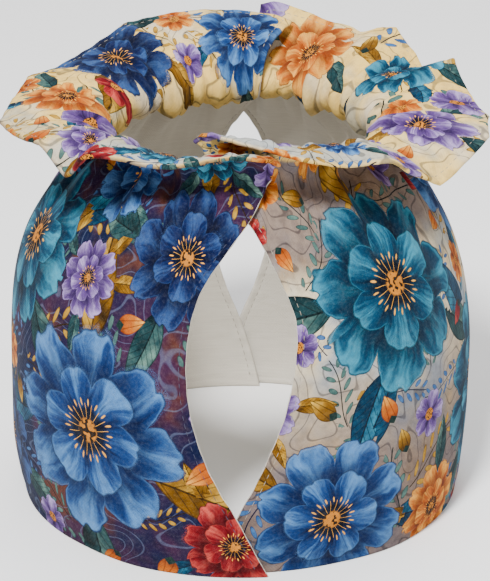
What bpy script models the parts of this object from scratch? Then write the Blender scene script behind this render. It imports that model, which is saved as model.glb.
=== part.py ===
"""A padded cloth tea cosy with a gathered neck and an open, uneven collar.

Two panels of one cloth stand in a ring, each running unbroken from the hem
to the collar's rim. They cross over each other at the front and at the back,
below and above a leaf-shaped slit. Both are drawn in at the neck, and the
cloth above it falls open as a collar.

The cosy stands on its hem, on the plane z = 0, with its front slit facing -Y.
The origin is the middle of its outer box, and the ring's axis stands a little
off it, because the collar reaches further on one side. Azimuth is measured in
degrees round the ring's axis from the front, positive towards +X. Table
columns ending in _mm are millimetres.
"""

import math
from collections import namedtuple

import bmesh
import bpy
from mathutils import Vector

MM = 0.001

# Driving sizes, in metres
CLOTH_THICKNESS = 2.4 * MM
LAYER_GAP = 1.05 * MM
LAYER_STEP = (CLOTH_THICKNESS + LAYER_GAP) / 2

# Where the ring's vertical axis stands
AXIS_X = -1.4 * MM
AXIS_Y = -2.0 * MM

# How far round from a slit the two layers start to part, and where they are fully apart
LAYER_APART_DEG = 23.0
LAYER_EVEN_DEG = 46.0

# The grid that each flat panel is cut as. Its columns crowd a little at the two slits.
COLUMNS = 59
BODY_ROWS = 16
COLLAR_ROWS = 9
COLUMN_CROWDING = 0.03

PRINT_COLOUR = (0.30, 0.38, 0.52, 1.0)
PRINT_ROUGHNESS = 0.85

# The body's section, from the hem's edge up to the neck. The first two rows stand
# upright, so the hem's cut edge is flat on the table.
Level = namedtuple("Level", "radius_mm height_mm")
LEVELS = (
    Level(80.4, 0.0),
    Level(80.4, 2.0),
    Level(81.8, 8.0),
    Level(83.2, 20.0),
    Level(83.8, 35.0),
    Level(83.9, 52.0),
    Level(83.4, 68.0),
    Level(81.6, 83.0),
    Level(78.0, 96.0),
    Level(72.8, 107.5),
    Level(67.5, 117.0),
    Level(61.6, 125.0),
    Level(56.4, 130.6),
    Level(52.9, 133.6),
    Level(51.2, 136.4),
    Level(52.2, 139.6),
)

# Where each panel's edge runs, as x, at the front and at the back. Where the left
# panel's edge is to the right of the right panel's, the panels overlap.
Edge = namedtuple("Edge", "height_mm left_mm right_mm")
FRONT_EDGES = (
    Edge(0.0, 9.8, -10.0),
    Edge(12.0, 4.6, -5.6),
    Edge(20.0, 1.0, -2.4),
    Edge(27.0, -2.4, 0.6),
    Edge(34.0, -6.4, 4.4),
    Edge(46.0, -11.8, 9.8),
    Edge(62.0, -16.4, 15.8),
    Edge(80.0, -18.2, 19.2),
    Edge(95.0, -16.6, 19.4),
    Edge(106.0, -12.6, 15.2),
    Edge(117.0, -4.6, 9.2),
    Edge(126.0, 3.2, 3.2),
    Edge(133.0, 8.0, -5.0),
    Edge(139.6, 10.5, -10.0),
)
BACK_EDGES = (
    Edge(0.0, 8.0, -8.0),
    Edge(14.0, 4.4, -4.4),
    Edge(28.0, 0.0, 0.0),
    Edge(42.0, -5.6, 5.6),
    Edge(60.0, -10.4, 10.4),
    Edge(80.0, -12.4, 12.4),
    Edge(98.0, -10.6, 10.6),
    Edge(112.0, -5.8, 5.8),
    Edge(123.0, 0.0, 0.0),
    Edge(131.0, 5.6, -3.6),
    Edge(139.6, 9.0, -5.0),
)

# The collar's rim, one row for each lobe or dip. crown is the height that the cloth
# reaches towards between neck and rim, so a crown above the rim curls the rim down.
Rim = namedtuple("Rim", "azimuth_deg reach_mm height_mm crown_mm")
LEFT_RIM = (
    Rim(13.0, 62.0, 147.5, 152.0),
    Rim(7.0, 64.5, 151.0, 154.0),
    Rim(-5.0, 66.0, 152.3, 155.0),
    Rim(-15.0, 67.5, 149.5, 154.5),
    Rim(-24.0, 69.5, 148.2, 153.0),
    Rim(-34.0, 73.0, 149.2, 154.5),
    Rim(-43.0, 77.5, 148.6, 156.0),
    Rim(-52.0, 76.5, 138.5, 151.0),
    Rim(-62.0, 78.5, 144.5, 151.5),
    Rim(-74.0, 82.2, 143.5, 151.0),
    Rim(-88.0, 85.0, 141.4, 149.8),
    Rim(-104.0, 85.5, 142.1, 150.0),
    Rim(-117.0, 87.0, 143.0, 150.0),
    Rim(-125.0, 84.0, 144.6, 150.2),
    Rim(-136.0, 86.0, 145.9, 150.4),
    Rim(-150.0, 86.5, 151.0, 151.5),
    Rim(-164.0, 86.5, 153.5, 153.0),
    Rim(-176.0, 84.5, 154.0, 154.5),
    Rim(-186.0, 82.0, 153.5, 154.5),
    Rim(-191.0, 80.5, 152.8, 154.0),
    Rim(-194.5, 78.5, 151.8, 153.5),
)
RIGHT_RIM = (
    Rim(-18.0, 53.0, 151.0, 149.0),
    Rim(-14.0, 55.0, 154.0, 151.5),
    Rim(-4.0, 57.5, 153.2, 155.0),
    Rim(8.0, 60.0, 150.8, 156.0),
    Rim(20.0, 64.5, 147.2, 154.5),
    Rim(32.0, 70.0, 145.0, 153.5),
    Rim(42.0, 76.0, 146.0, 153.0),
    Rim(50.0, 79.5, 139.5, 149.5),
    Rim(58.0, 83.0, 135.0, 147.0),
    Rim(68.0, 85.0, 137.0, 148.0),
    Rim(79.0, 88.8, 141.0, 149.0),
    Rim(91.0, 87.3, 142.0, 148.5),
    Rim(102.0, 85.8, 144.5, 149.5),
    Rim(112.0, 83.0, 151.4, 152.0),
    Rim(119.0, 80.5, 145.0, 149.5),
    Rim(130.0, 84.5, 149.5, 151.0),
    Rim(138.0, 86.5, 153.5, 153.0),
    Rim(142.0, 86.2, 153.8, 153.0),
    Rim(147.0, 84.5, 152.2, 152.0),
    Rim(151.0, 85.5, 154.0, 151.5),
    Rim(156.0, 86.7, 154.1, 149.4),
    Rim(166.0, 88.6, 157.5, 144.0),
    Rim(171.5, 89.7, 159.0, 142.8),
    Rim(175.0, 89.2, 158.0, 142.4),
)
CROWN_REACH = 0.40

# The gathers where the neck is drawn in: troughs seen from outside, deepest at the neck
Gather = namedtuple("Gather", "azimuth_deg depth_mm width_deg")
GATHERS = (
    Gather(-172.0, 1.6, 7.0),
    Gather(-151.0, 3.4, 6.5),
    Gather(-134.0, 2.4, 5.5),
    Gather(-117.0, 3.9, 6.5),
    Gather(-98.0, 2.6, 6.0),
    Gather(-79.0, 3.3, 6.0),
    Gather(-62.0, 2.4, 5.5),
    Gather(-48.0, 3.8, 6.0),
    Gather(-27.0, 2.2, 6.5),
    Gather(29.0, 2.4, 6.5),
    Gather(47.0, 3.6, 6.0),
    Gather(64.0, 2.6, 5.5),
    Gather(80.0, 3.4, 6.0),
    Gather(99.0, 2.5, 6.0),
    Gather(118.0, 4.0, 6.5),
    Gather(134.0, 2.3, 5.5),
    Gather(149.0, 3.5, 6.0),
    Gather(168.0, 1.6, 6.0),
)
# How far a gather runs down the shoulder and up the collar, in rows of the section
GATHER_DOWN = 0.36
GATHER_UP = 0.85


def clamp(value, low=0.0, high=1.0):
    return max(low, min(high, value))


def ease(share):
    share = clamp(share)
    return share * share * (3 - 2 * share)


def through(keys, values, at):
    """A smooth curve through the points (keys, values), read at one key."""
    last = len(keys) - 1
    if at <= keys[0]:
        return values[0]
    if at >= keys[last]:
        return values[last]
    i = max(k for k in range(last) if keys[k] <= at)

    def slope(k):
        before, after = max(k - 1, 0), min(k + 1, last)
        return (values[after] - values[before]) / (keys[after] - keys[before])

    span = keys[i + 1] - keys[i]
    x = (at - keys[i]) / span
    start = values[i] * (1 + 2 * x) * (1 - x) ** 2 + slope(i) * span * x * (1 - x) ** 2
    end = values[i + 1] * x * x * (3 - 2 * x) + slope(i + 1) * span * x * x * (x - 1)
    return start + end


def column(table, name):
    return [getattr(row, name) for row in table]


def lengths_up(levels):
    """The length of cloth from the hem up to each level, in millimetres."""
    found = [0.0]
    for low, high in zip(levels, levels[1:]):
        step = math.hypot(high.radius_mm - low.radius_mm, high.height_mm - low.height_mm)
        found.append(found[-1] + step)
    return found


LEVEL_LENGTHS = lengths_up(LEVELS)
HEM_FOLD = LEVEL_LENGTHS[1] / LEVEL_LENGTHS[-1]
NECK = LEVELS[-1]


def body_section(up):
    """(radius, height) in millimetres of the cloth's middle, up running 0 to 1 from hem to neck."""
    length = clamp(up) * LEVEL_LENGTHS[-1]
    radius = through(LEVEL_LENGTHS, column(LEVELS, "radius_mm"), length)
    height = through(LEVEL_LENGTHS, column(LEVELS, "height_mm"), length)
    return radius, height


def collar_section(rim_table, azimuth, out):
    """(radius, height) in millimetres of the collar, out running 0 to 1 from neck to rim."""
    rows = sorted(rim_table)
    keys = column(rows, "azimuth_deg")
    reach = through(keys, column(rows, "reach_mm"), azimuth)
    rim_height = through(keys, column(rows, "height_mm"), azimuth)
    crown_height = through(keys, column(rows, "crown_mm"), azimuth)
    crown_radius = NECK.radius_mm + CROWN_REACH * (reach - NECK.radius_mm)
    inner, middle, outer = (1 - out) ** 2, 2 * out * (1 - out), out * out
    radius = inner * NECK.radius_mm + middle * crown_radius + outer * reach
    height = inner * NECK.height_mm + middle * crown_height + outer * rim_height
    return radius, height


def section(rim_table, azimuth, along):
    """The whole section: along runs 0 to 1 from hem to neck, and 1 to 2 from neck to rim."""
    if along <= 1:
        return body_section(along)
    return collar_section(rim_table, azimuth, along - 1)


def gather_depth(azimuth, along):
    """How far the gathers draw the cloth in, in millimetres."""
    if along <= 1:
        share = ease(1 - (1 - along) / GATHER_DOWN)
    else:
        share = ease(1 - (along - 1) / GATHER_UP)
    depth = 0.0
    for gather in GATHERS:
        away = (azimuth - gather.azimuth_deg + 180) % 360 - 180
        depth += gather.depth_mm * math.exp(-((away / gather.width_deg) ** 2))
    return depth * share


def layer_offset(azimuth, front_side):
    """The panel's step out of the common surface, in metres: front_side is 1 where it
    lies outside the other panel at the front, and then it lies inside it at the back."""
    from_front = abs((azimuth + 180) % 360 - 180)
    from_back = 180 - from_front
    spread = LAYER_EVEN_DEG - LAYER_APART_DEG
    front = ease((LAYER_EVEN_DEG - from_front) / spread)
    back = ease((LAYER_EVEN_DEG - from_back) / spread)
    return LAYER_STEP * front_side * (front - back)


def edge_azimuth(edges, side, rim_azimuth, along, behind):
    """The azimuth of a panel's edge. Above the neck it runs straight out to the rim's end."""
    radius, height = body_section(along)
    x = through(column(edges, "height_mm"), column(edges, side + "_mm"), height)
    turned = math.degrees(math.asin(x / radius))
    azimuth = behind - turned if behind else turned
    if along <= 1:
        return azimuth
    return azimuth + (rim_azimuth - azimuth) * ease(along - 1)


def cloth_point(rim_table, azimuth, along, front_side):
    """A point of the panel's middle surface, in metres."""
    radius, height = section(rim_table, azimuth, along)
    step = 0.002
    low, high = max(along - step, 0.0), min(along + step, 2.0)
    before, after = section(rim_table, azimuth, low), section(rim_table, azimuth, high)
    run, rise = after[0] - before[0], after[1] - before[1]
    if along <= HEM_FOLD:
        run, rise = 0.0, 1.0
    size = math.hypot(run, rise)
    push = layer_offset(azimuth, front_side) - gather_depth(azimuth, along) * MM
    radius = radius * MM + push * rise / size
    height = height * MM - push * run / size
    turn = math.radians(azimuth)
    return Vector((AXIS_X + radius * math.sin(turn), AXIS_Y - radius * math.cos(turn), height))


def rows_along():
    """The section's places, hem to rim: close together at the hem's fold and the neck."""
    body = [HEM_FOLD]
    for i in range(1, BODY_ROWS):
        share = i / (BODY_ROWS - 1)
        crowded = 1 - (1 - share) ** 1.25
        body.append(HEM_FOLD + (1 - HEM_FOLD) * crowded)
    collar = [1 + (i + 1) / COLLAR_ROWS for i in range(COLLAR_ROWS)]
    return [0.0] + body + collar


def add_panel(name, side, rim_table, front_side, behind, material, collection):
    """Cuts one panel as a flat grid, shapes it round the ring and gives it its thickness."""
    rows = rows_along()
    mesh = bpy.data.meshes.new(name)
    sheet = bmesh.new()
    bmesh.ops.create_grid(
        sheet, x_segments=COLUMNS - 1, y_segments=len(rows) - 1, size=0.5
    )
    for vertex in sheet.verts:
        row = round((vertex.co.y + 0.5) * (len(rows) - 1))
        along = rows[row]
        across = vertex.co.x + 0.5
        across -= COLUMN_CROWDING * math.sin(2 * math.pi * across)
        front = edge_azimuth(FRONT_EDGES, side, rim_table[0].azimuth_deg, along, 0)
        back = edge_azimuth(BACK_EDGES, side, rim_table[-1].azimuth_deg, along, behind)
        azimuth = front + (back - front) * across
        vertex.co = cloth_point(rim_table, azimuth, along, front_side)
    bmesh.ops.recalc_face_normals(sheet, faces=sheet.faces)
    sheet.to_mesh(mesh)
    sheet.free()
    mesh.shade_smooth()
    mesh.materials.append(material)
    panel = bpy.data.objects.new(name, mesh)
    collection.objects.link(panel)
    padding = panel.modifiers.new("padding", "SOLIDIFY")
    padding.thickness = CLOTH_THICKNESS
    padding.offset = 0.0
    padding.use_even_offset = True
    padding.use_quality_normals = True
    return panel


def printed_cloth():
    material = bpy.data.materials.new("printed_cloth")
    material.use_nodes = True
    shader = material.node_tree.nodes["Principled BSDF"]
    shader.inputs["Base Color"].default_value = PRINT_COLOUR
    shader.inputs["Roughness"].default_value = PRINT_ROUGHNESS
    shader.inputs["Metallic"].default_value = 0.0
    return material


def clear_scene():
    for thing in list(bpy.data.objects):
        bpy.data.objects.remove(thing)


def main():
    clear_scene()
    cosy = bpy.data.collections.new("tea_cosy")
    bpy.context.scene.collection.children.link(cosy)
    cloth = printed_cloth()
    add_panel("panel_left", "left", LEFT_RIM, 1, -180, cloth, cosy)
    add_panel("panel_right", "right", RIGHT_RIM, -1, 180, cloth, cosy)


main()
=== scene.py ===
# %% [markdown]
# # A padded tea cosy in printed cotton
# A tea cosy keeps tea warm. This one is two panels of quilted cotton that stand in a
# ring. They cross at the front and at the back, with a leaf-shaped slit between the
# crossings. The neck is gathered, and the cloth above it falls open as an uneven collar.
#
# The lesson loads the plain solids of the two panels, cuts both again as fine cloth,
# paints a flowered print on them with shader nodes, sews them with Geometry Nodes, and
# sets up a small studio.

import math
import random
from collections import namedtuple

import bmesh
import bpy
import numpy as np
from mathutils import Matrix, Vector


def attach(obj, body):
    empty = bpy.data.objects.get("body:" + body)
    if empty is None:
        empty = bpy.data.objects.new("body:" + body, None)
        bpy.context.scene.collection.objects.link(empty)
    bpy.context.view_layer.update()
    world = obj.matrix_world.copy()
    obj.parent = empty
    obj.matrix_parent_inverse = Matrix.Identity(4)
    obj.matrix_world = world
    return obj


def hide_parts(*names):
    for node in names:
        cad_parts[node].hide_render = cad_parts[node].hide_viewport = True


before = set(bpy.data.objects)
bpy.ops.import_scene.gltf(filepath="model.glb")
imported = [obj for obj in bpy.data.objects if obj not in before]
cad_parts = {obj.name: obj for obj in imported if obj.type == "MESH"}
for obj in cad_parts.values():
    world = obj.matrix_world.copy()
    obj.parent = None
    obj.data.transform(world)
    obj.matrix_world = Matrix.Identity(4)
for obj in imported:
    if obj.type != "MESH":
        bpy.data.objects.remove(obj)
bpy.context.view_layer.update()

# %% [markdown]
# ## Sizes of the cloth
# The fine cloth has to lie where the solids lie, so it is worked out from the same
# measures: a section from the hem to the neck, the course of each panel's edges, and
# the reach and height of the collar's rim. Azimuth runs round the cosy in degrees from
# the front, positive to the right.

# %% The measures
MM = 0.001
AXIS_X = -1.4 * MM
AXIS_Y = -2.0 * MM

# The solids are 2.4 mm thick, and the two layers lie 3.45 mm apart where they cross
LAYER_STEP = 1.725 * MM
LAYER_APART_DEG = 23.0
LAYER_EVEN_DEG = 46.0


def rows_of(kind, *rows):
    """A table of plain rows, each made a row of one kind with named columns."""
    return tuple(kind(*row) for row in rows)


Level = namedtuple("Level", "radius_mm height_mm")
LEVELS = rows_of(
    Level, (80.4, 0.0), (80.4, 2.0), (81.8, 8.0), (83.2, 20.0), (83.8, 35.0), (83.9, 52.0),
    (83.4, 68.0), (81.6, 83.0), (78.0, 96.0), (72.8, 107.5), (67.5, 117.0), (61.6, 125.0),
    (56.4, 130.6), (52.9, 133.6), (51.2, 136.4), (52.2, 139.6),
)

Edge = namedtuple("Edge", "height_mm left_mm right_mm")
FRONT_EDGES = rows_of(
    Edge, (0.0, 9.8, -10.0), (12.0, 4.6, -5.6), (20.0, 1.0, -2.4), (27.0, -2.4, 0.6),
    (34.0, -6.4, 4.4), (46.0, -11.8, 9.8), (62.0, -16.4, 15.8), (80.0, -18.2, 19.2),
    (95.0, -16.6, 19.4), (106.0, -12.6, 15.2), (117.0, -4.6, 9.2), (126.0, 3.2, 3.2),
    (133.0, 8.0, -5.0), (139.6, 10.5, -10.0),
)
BACK_EDGES = rows_of(
    Edge, (0.0, 8.0, -8.0), (14.0, 4.4, -4.4), (28.0, 0.0, 0.0), (42.0, -5.6, 5.6),
    (60.0, -10.4, 10.4), (80.0, -12.4, 12.4), (98.0, -10.6, 10.6), (112.0, -5.8, 5.8),
    (123.0, 0.0, 0.0), (131.0, 5.6, -3.6), (139.6, 9.0, -5.0),
)

Rim = namedtuple("Rim", "azimuth_deg reach_mm height_mm crown_mm")
LEFT_RIM = rows_of(
    Rim, (13.0, 62.0, 147.5, 152.0), (7.0, 64.5, 151.0, 154.0), (-5.0, 66.0, 152.3, 155.0),
    (-15.0, 67.5, 149.5, 154.5), (-24.0, 69.5, 148.2, 153.0), (-34.0, 73.0, 149.2, 154.5),
    (-43.0, 77.5, 148.6, 156.0), (-52.0, 76.5, 138.5, 151.0), (-62.0, 78.5, 144.5, 151.5),
    (-74.0, 82.2, 143.5, 151.0), (-88.0, 85.0, 141.4, 149.8), (-104.0, 85.5, 142.1, 150.0),
    (-117.0, 87.0, 143.0, 150.0), (-125.0, 84.0, 144.6, 150.2), (-136.0, 86.0, 145.9, 150.4),
    (-150.0, 86.5, 151.0, 151.5), (-164.0, 86.5, 153.5, 153.0), (-176.0, 84.5, 154.0, 154.5),
    (-186.0, 82.0, 153.5, 154.5), (-191.0, 80.5, 152.8, 154.0), (-194.5, 78.5, 151.8, 153.5),
)
RIGHT_RIM = rows_of(
    Rim, (-18.0, 53.0, 151.0, 149.0), (-14.0, 55.0, 154.0, 151.5), (-4.0, 57.5, 153.2, 155.0),
    (8.0, 60.0, 150.8, 156.0), (20.0, 64.5, 147.2, 154.5), (32.0, 70.0, 145.0, 153.5),
    (42.0, 76.0, 146.0, 153.0), (50.0, 79.5, 139.5, 149.5), (58.0, 83.0, 135.0, 147.0),
    (68.0, 85.0, 137.0, 148.0), (79.0, 88.8, 141.0, 149.0), (91.0, 87.3, 142.0, 148.5),
    (102.0, 85.8, 144.5, 149.5), (112.0, 83.0, 151.4, 152.0), (119.0, 80.5, 145.0, 149.5),
    (130.0, 84.5, 149.5, 151.0), (138.0, 86.5, 153.5, 153.0), (142.0, 86.2, 153.8, 153.0),
    (147.0, 84.5, 152.2, 152.0), (151.0, 85.5, 154.0, 151.5), (156.0, 86.7, 154.1, 149.4),
    (166.0, 88.6, 157.5, 144.0), (171.5, 89.7, 159.0, 142.8), (175.0, 89.2, 158.0, 142.4),
)
CROWN_REACH = 0.40

Gather = namedtuple("Gather", "azimuth_deg depth_mm width_deg")
GATHERS = rows_of(
    Gather, (-172.0, 1.6, 7.0), (-151.0, 3.4, 6.5), (-134.0, 2.4, 5.5), (-117.0, 3.9, 6.5),
    (-98.0, 2.6, 6.0), (-79.0, 3.3, 6.0), (-62.0, 2.4, 5.5), (-48.0, 3.8, 6.0),
    (-27.0, 2.2, 6.5), (29.0, 2.4, 6.5), (47.0, 3.6, 6.0), (64.0, 2.6, 5.5), (80.0, 3.4, 6.0),
    (99.0, 2.5, 6.0), (118.0, 4.0, 6.5), (134.0, 2.3, 5.5), (149.0, 3.5, 6.0),
    (168.0, 1.6, 6.0),
)
GATHER_DOWN = 0.36
GATHER_UP = 0.85

# Where the rim is folded hard it comes to a corner, sharper than a smooth table gives
Corner = namedtuple("Corner", "azimuth_deg reach_mm rise_mm")
CORNERS = rows_of(
    Corner, (-43.0, 1.6, -0.6), (-54.0, -1.4, -2.4), (-62.0, 0.8, 1.4), (-88.0, 1.8, 0.4),
    (-117.0, 1.8, 1.2), (-150.0, 1.4, 1.2), (43.0, 1.4, 0.6), (58.0, -1.0, -2.0),
    (79.0, 1.0, 0.2), (90.0, 2.2, 1.2), (112.0, 2.2, 2.4), (119.0, -1.6, -1.6),
    (138.0, 1.6, 1.8),
)
CORNER_WIDTH_DEG = 2.4
print("rim rows:", len(LEFT_RIM), "left,", len(RIGHT_RIM), "right; gathers:", len(GATHERS))

# %% [markdown]
# ## One smooth surface for both panels
# A table of a few measures becomes a smooth section with cubic pieces whose slopes
# agree where they meet. NumPy reads a whole grid of places at once, which keeps a fine
# mesh quick. The neck's gathers are dips pushed in along the cloth's own normal, so
# they follow the shoulder down and the collar up.

# %% Curves through the tables
def ease(share):
    share = np.clip(share, 0.0, 1.0)
    return share * share * (3 - 2 * share)


def through(keys, values, at):
    """A smooth curve through the points (keys, values), read at every place in at."""
    keys, values = np.asarray(keys, float), np.asarray(values, float)
    slopes = np.empty_like(values)
    slopes[1:-1] = (values[2:] - values[:-2]) / (keys[2:] - keys[:-2])
    slopes[0] = (values[1] - values[0]) / (keys[1] - keys[0])
    slopes[-1] = (values[-1] - values[-2]) / (keys[-1] - keys[-2])
    at = np.clip(at, keys[0], keys[-1])
    i = np.clip(np.searchsorted(keys, at, side="right") - 1, 0, len(keys) - 2)
    span = keys[i + 1] - keys[i]
    x = (at - keys[i]) / span
    start = values[i] * (1 + 2 * x) * (1 - x) ** 2 + slopes[i] * span * x * (1 - x) ** 2
    end = values[i + 1] * x * x * (3 - 2 * x) + slopes[i + 1] * span * x * x * (x - 1)
    return start + end


def column(rows, name):
    return np.array([getattr(row, name) for row in rows])


LEVEL_LENGTHS = np.concatenate(([0.0], np.cumsum(np.hypot(
    np.diff(column(LEVELS, "radius_mm")), np.diff(column(LEVELS, "height_mm"))
))))
BODY_LENGTH = LEVEL_LENGTHS[-1]
HEM_FOLD = LEVEL_LENGTHS[1] / BODY_LENGTH
NECK = LEVELS[-1]
print("cloth from hem to neck:", round(BODY_LENGTH, 1), "mm")


# %% The section from hem to rim
def body_section(along):
    """Radius and height of the body in millimetres: along runs 0 to 1 from hem to neck."""
    length = np.clip(along, 0, 1) * BODY_LENGTH
    return [through(LEVEL_LENGTHS, column(LEVELS, name), length) for name in Level._fields]


def section(rim_table, azimuth, along):
    """The same for the whole cloth: along runs on from 1 to 2 up the collar."""
    body_radius, body_height = body_section(along)
    rows = sorted(rim_table)
    reach, rim_height, crown_height = (
        through(column(rows, "azimuth_deg"), column(rows, name), azimuth)
        for name in ("reach_mm", "height_mm", "crown_mm")
    )
    for corner in CORNERS:
        near = np.exp(-np.abs(azimuth - corner.azimuth_deg) / CORNER_WIDTH_DEG)
        reach = reach + corner.reach_mm * near
        rim_height = rim_height + corner.rise_mm * near
    crown_radius = NECK.radius_mm + CROWN_REACH * (reach - NECK.radius_mm)
    out = np.clip(along - 1, 0, 1)
    inner, middle, outer = (1 - out) ** 2, 2 * out * (1 - out), out * out
    radius = inner * NECK.radius_mm + middle * crown_radius + outer * reach
    height = inner * NECK.height_mm + middle * crown_height + outer * rim_height
    on_body = along <= 1
    return np.where(on_body, body_radius, radius), np.where(on_body, body_height, height)


def edge_azimuth(edges, side, rim_azimuth, along, behind):
    """The azimuth of a panel's edge. Above the neck it runs out to the rim's end."""
    radius, height = body_section(along)
    x = through(column(edges, "height_mm"), column(edges, side + "_mm"), height)
    turned = np.degrees(np.arcsin(x / radius))
    azimuth = behind - turned if behind else turned
    return azimuth + (rim_azimuth - azimuth) * ease(along - 1)


def layer_offset(azimuth, front_side):
    """The step between the layers: front_side is 1 on the panel that lies outside at the front."""
    from_front = np.abs((azimuth + 180) % 360 - 180)
    from_back = 180 - from_front
    spread = LAYER_EVEN_DEG - LAYER_APART_DEG
    front = ease((LAYER_EVEN_DEG - from_front) / spread)
    back = ease((LAYER_EVEN_DEG - from_back) / spread)
    return LAYER_STEP * front_side * (front - back)


# %% [markdown]
# ## Gathers, creases and puckers
# The solids carry the main gathers. Real cloth also breaks into finer pleats beside the
# drawn-in neck, sinks along a narrow line in each gather, wrinkles a little beside a
# sewn edge, and keeps a few soft creases from being folded. All of these are small
# pushes along the normal, in millimetres, added up before the mesh is made. Both
# panels share them, so the layers stay clear of each other where they cross.

# %% Small pushes along the normal
SHARP_DEPTH = 0.55
SHARP_WIDTH = 0.42
FINE_PLEAT_MM = 0.85
FINE_REACH_MM = 26.0
SWELL_MM = 0.55
PUCKER_MM = 0.22
PUCKER_PITCH_MM = 8.5
PUCKER_REACH_MM = 5.0
COLLAR_LENGTH = 36.0
RIM_UP = BODY_LENGTH + COLLAR_LENGTH

# A cloth length round the cosy is its azimuth in radians times this radius
NOMINAL_RADIUS = 85.0

# A crease's middle, half length and half width on the cloth, its depth and its lean
# from upright. A negative depth is a ridge.
Crease = namedtuple("Crease", "azimuth_deg up_mm length_mm width_mm depth_mm lean_deg")
CREASES = rows_of(
    Crease, (19.0, 116.0, 15.0, 3.0, 0.9, 14.0), (22.0, 112.0, 13.0, 3.5, -0.5, 12.0),
    (36.0, 124.0, 12.0, 3.2, 0.7, -8.0), (-24.0, 118.0, 16.0, 3.6, 0.8, -12.0),
    (-37.0, 122.0, 12.0, 3.0, 0.6, 6.0), (-57.0, 116.0, 15.0, 4.0, 0.7, 10.0),
    (62.0, 112.0, 18.0, 4.0, 0.6, -10.0), (30.0, 24.0, 18.0, 5.0, 0.5, 62.0),
    (-33.0, 30.0, 20.0, 5.0, 0.5, -55.0), (-74.0, 60.0, 22.0, 6.0, 0.5, 28.0),
    (80.0, 58.0, 24.0, 6.0, 0.5, -24.0), (110.0, 118.0, 16.0, 4.0, 0.7, 8.0),
    (140.0, 48.0, 22.0, 6.0, 0.5, 35.0), (-120.0, 112.0, 18.0, 4.0, 0.7, -9.0),
    (-142.0, 52.0, 24.0, 6.0, 0.5, -30.0),
)


def bell(away, width):
    """1 at the middle, and next to nothing from twice the width away."""
    return np.exp(-((away / width) ** 2))


def gather_push(azimuth, along):
    share = np.where(
        along <= 1, ease(1 - (1 - along) / GATHER_DOWN), ease(1 - (along - 1) / GATHER_UP)
    )
    depth = np.zeros_like(azimuth)
    for gather in GATHERS:
        away = (azimuth - gather.azimuth_deg + 180) % 360 - 180
        depth += gather.depth_mm * bell(away, gather.width_deg)
        sharp = SHARP_DEPTH * gather.depth_mm * share
        depth += sharp * bell(away, gather.width_deg * SHARP_WIDTH)
    return -depth * share


def fine_pleats(azimuth, up):
    """Two bent waves round the neck. Their counts share no factor, so none looks repeated."""
    turn = np.radians(azimuth)
    wave = np.cos(47 * turn + 2.2 * np.sin(5 * turn))
    wave += 0.6 * np.cos(83 * turn + 1.7 * np.sin(7 * turn + 1))
    return FINE_PLEAT_MM * wave * bell(up - BODY_LENGTH, FINE_REACH_MM)


def swell(azimuth, up):
    """The wadding's own unevenness, which fades out at the hem and past the neck."""
    turn = np.radians(azimuth)
    wave = np.sin(3 * turn + up / 31) * np.sin(up / 23 + 1.1)
    wave += 0.6 * np.sin(7 * turn - up / 17 + 0.6)
    return SWELL_MM * wave * ease(up / 25) * ease((BODY_LENGTH + 6 - up) / 20)


def creases(azimuth, up):
    push = np.zeros_like(azimuth)
    for crease in CREASES:
        lean = math.radians(crease.lean_deg)
        aside = np.radians(azimuth - crease.azimuth_deg) * NOMINAL_RADIUS
        rise = up - crease.up_mm
        along = rise * math.cos(lean) + aside * math.sin(lean)
        across = aside * math.cos(lean) - rise * math.sin(lean)
        push -= crease.depth_mm * np.exp(
            -((along / crease.length_mm) ** 2) - (across / crease.width_mm) ** 2
        )
    return push


def puckers(up, edge_mm):
    wave = np.sin(up / PUCKER_PITCH_MM * 2 * math.pi + 1.4 * np.sin(up / 19))
    return PUCKER_MM * wave * np.exp(-edge_mm / PUCKER_REACH_MM)


print("creases:", len(CREASES))

# %% [markdown]
# ## The panels as cloth
# Each panel is one grid of quads. Its rows and columns crowd at the edges, because an
# edge that is turned in and sewn is round there, with a shallow groove under the
# stitches. Solidify gives the thickness, and a vertex group thins it at the edge and in
# the groove. Every point also keeps its place on the flat cloth, which the print is
# drawn on later, so the pattern bends and gathers with the cloth.

# %% A grid that crowds at its edges
CLOTH_THICKNESS = 1.6 * MM
GRID_STEP_MM = 1.6
EDGE_STEPS_MM = (0.0, 0.12, 0.4, 0.9, 1.6, 2.3, 2.9, 3.5, 4.4)
EDGE_ROUND_MM = 0.8
EDGE_LEAST = 0.24
SEAM_MM = 2.9
SEAM_GROOVE = 0.34
SEAM_WIDTH_MM = 0.75
BARE_EDGE_MM = 0.2
PANEL_WIDTH_MM = 264.0


def crowded_steps(length_mm):
    """Places from 0 to length_mm, a grid step apart in the middle and closer at both ends."""
    start = np.array(EDGE_STEPS_MM)
    inner = length_mm - 2 * start[-1]
    middle = np.linspace(start[-1], length_mm - start[-1], round(inner / GRID_STEP_MM) + 1)
    return np.concatenate((start[:-1], middle, length_mm - start[-2::-1]))


def thickness_share(edge_mm):
    """How much of the full thickness the cloth has: round at an edge, thinner under stitches."""
    inward = np.clip(edge_mm / EDGE_ROUND_MM, 0, 1)
    share = np.maximum(np.sqrt(1 - (1 - inward) ** 2), EDGE_LEAST)
    return share * (1 - SEAM_GROOVE * bell(edge_mm - SEAM_MM, SEAM_WIDTH_MM))


# %% Points of one panel
Panel = namedtuple("Panel", "name side rim front_side behind")
PANELS = (
    Panel("panel_left", "left", LEFT_RIM, 1, -180),
    Panel("panel_right", "right", RIGHT_RIM, -1, 180),
)


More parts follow.
